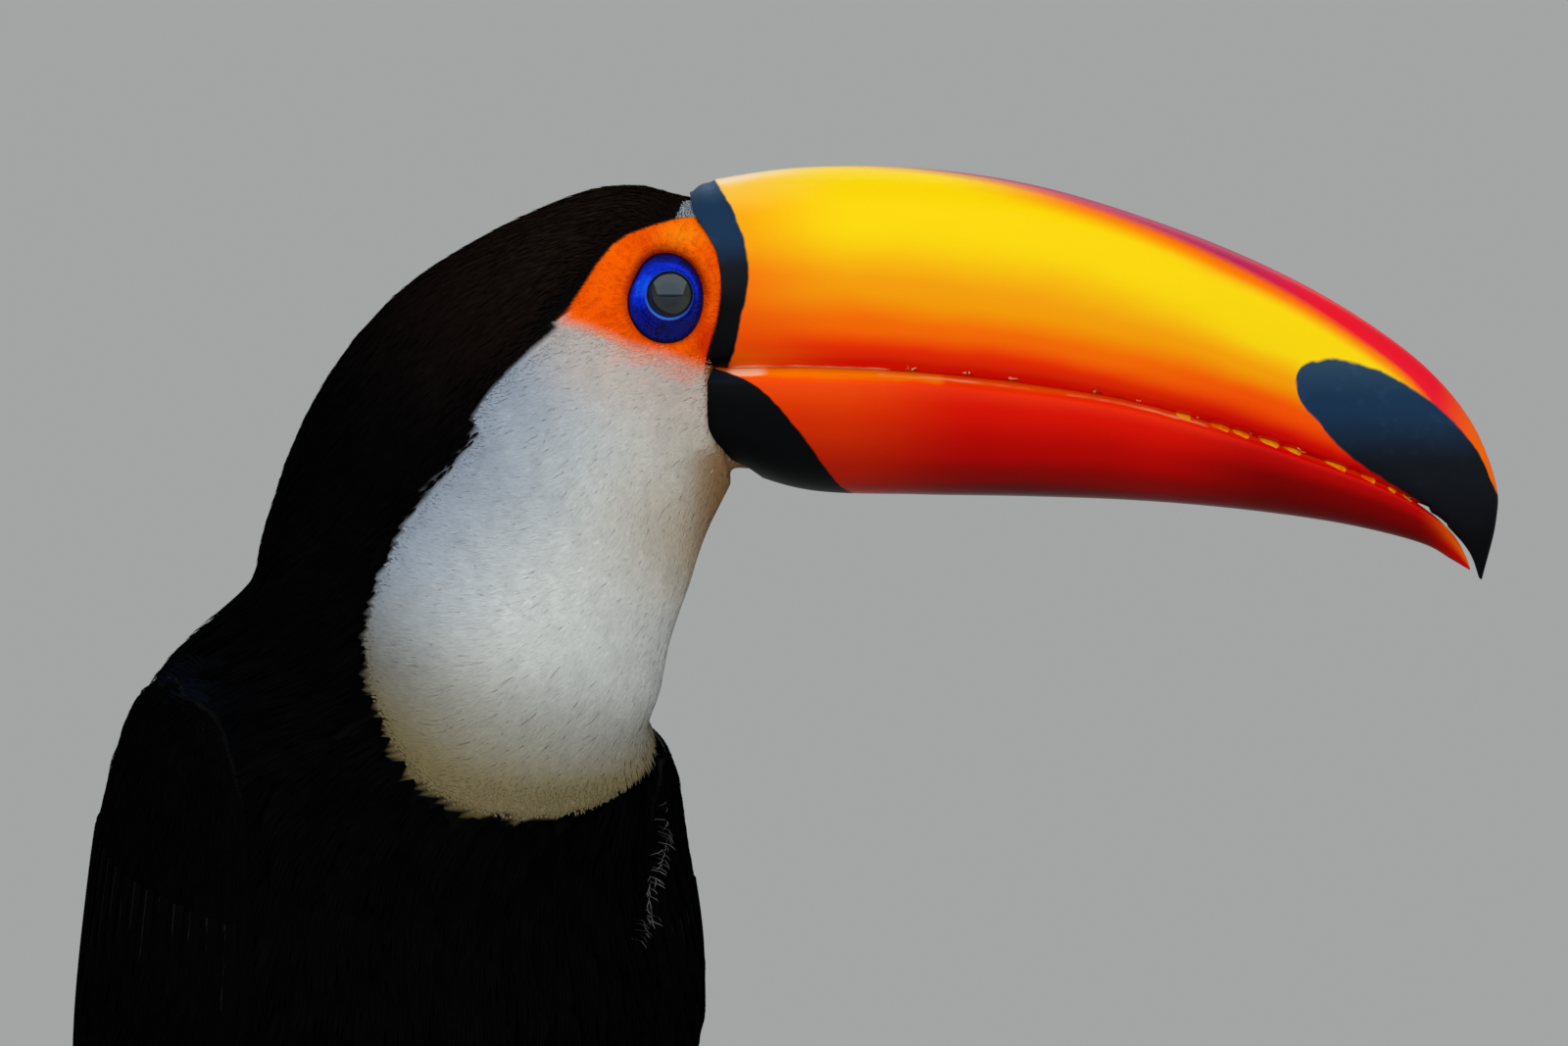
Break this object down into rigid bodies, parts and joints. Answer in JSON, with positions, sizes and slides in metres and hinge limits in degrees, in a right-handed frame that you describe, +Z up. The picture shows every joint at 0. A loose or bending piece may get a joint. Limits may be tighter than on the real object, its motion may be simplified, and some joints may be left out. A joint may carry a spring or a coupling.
{
  "type": "toco toucan",
  "caption": "Toco toucan, life size, standing with its head turned in profile: a large orange bill, white bib, blue eye ring and black body.",
  "frame": {"origin": "middle of the bird's bounding box in plan, on the floor under its soles", "axes": "+X the way the bill points, +Y back from the breast, +Z up; the breast faces -Y, turned 18 degrees towards +X"},
  "size_m": [0.3546, 0.3286, 0.3184],
  "materials": {
    "upper_bill": "glossy horn, yellow to orange, with a blue-black base band and tip spot and a purple-red culmen",
    "lower_bill": "glossy horn, orange-red above, dark maroon below",
    "eye": "wet and glossy, near-black brown",
    "eye_ring": "cobalt-blue bare skin, finely pebbled",
    "face_skin": "orange bare skin, finely wrinkled and pebbled",
    "white_down": "silky white hair-like feathers",
    "black_plumage": "short black feathers with a faint blue sheen",
    "flight_feathers": "long black vanes with a soft sheen",
    "red_coverts": "loose red feathers under the tail",
    "leg_skin": "blue-grey scaled skin",
    "claw": "dark horn"
  },
  "bodies": {
    "root": {"head": "white_down", "neck": "white_down", "trunk": "black_plumage", "tail": "flight_feathers", "upper_bill": "upper_bill", "lower_bill": "lower_bill", "eye_left": "eye", "eyelids_left": "eye_ring", "wing_left": "flight_feathers", "thigh_left": "black_plumage", "shank_left": "leg_skin", "toe_3_left": "leg_skin", "toe_2_left": "leg_skin", "toe_4_left": "leg_skin", "toe_1_left": "leg_skin", "claw_3_left": "claw", "claw_2_left": "claw", "claw_4_left": "claw", "claw_1_left": "claw", "eye_right": "eye", "eyelids_right": "eye_ring", "wing_right": "flight_feathers", "thigh_right": "black_plumage", "shank_right": "leg_skin", "toe_3_right": "leg_skin", "toe_2_right": "leg_skin", "toe_4_right": "leg_skin", "toe_1_right": "leg_skin", "claw_3_right": "claw", "claw_2_right": "claw", "claw_4_right": "claw", "claw_1_right": "claw"}
  },
  "joints": []
}
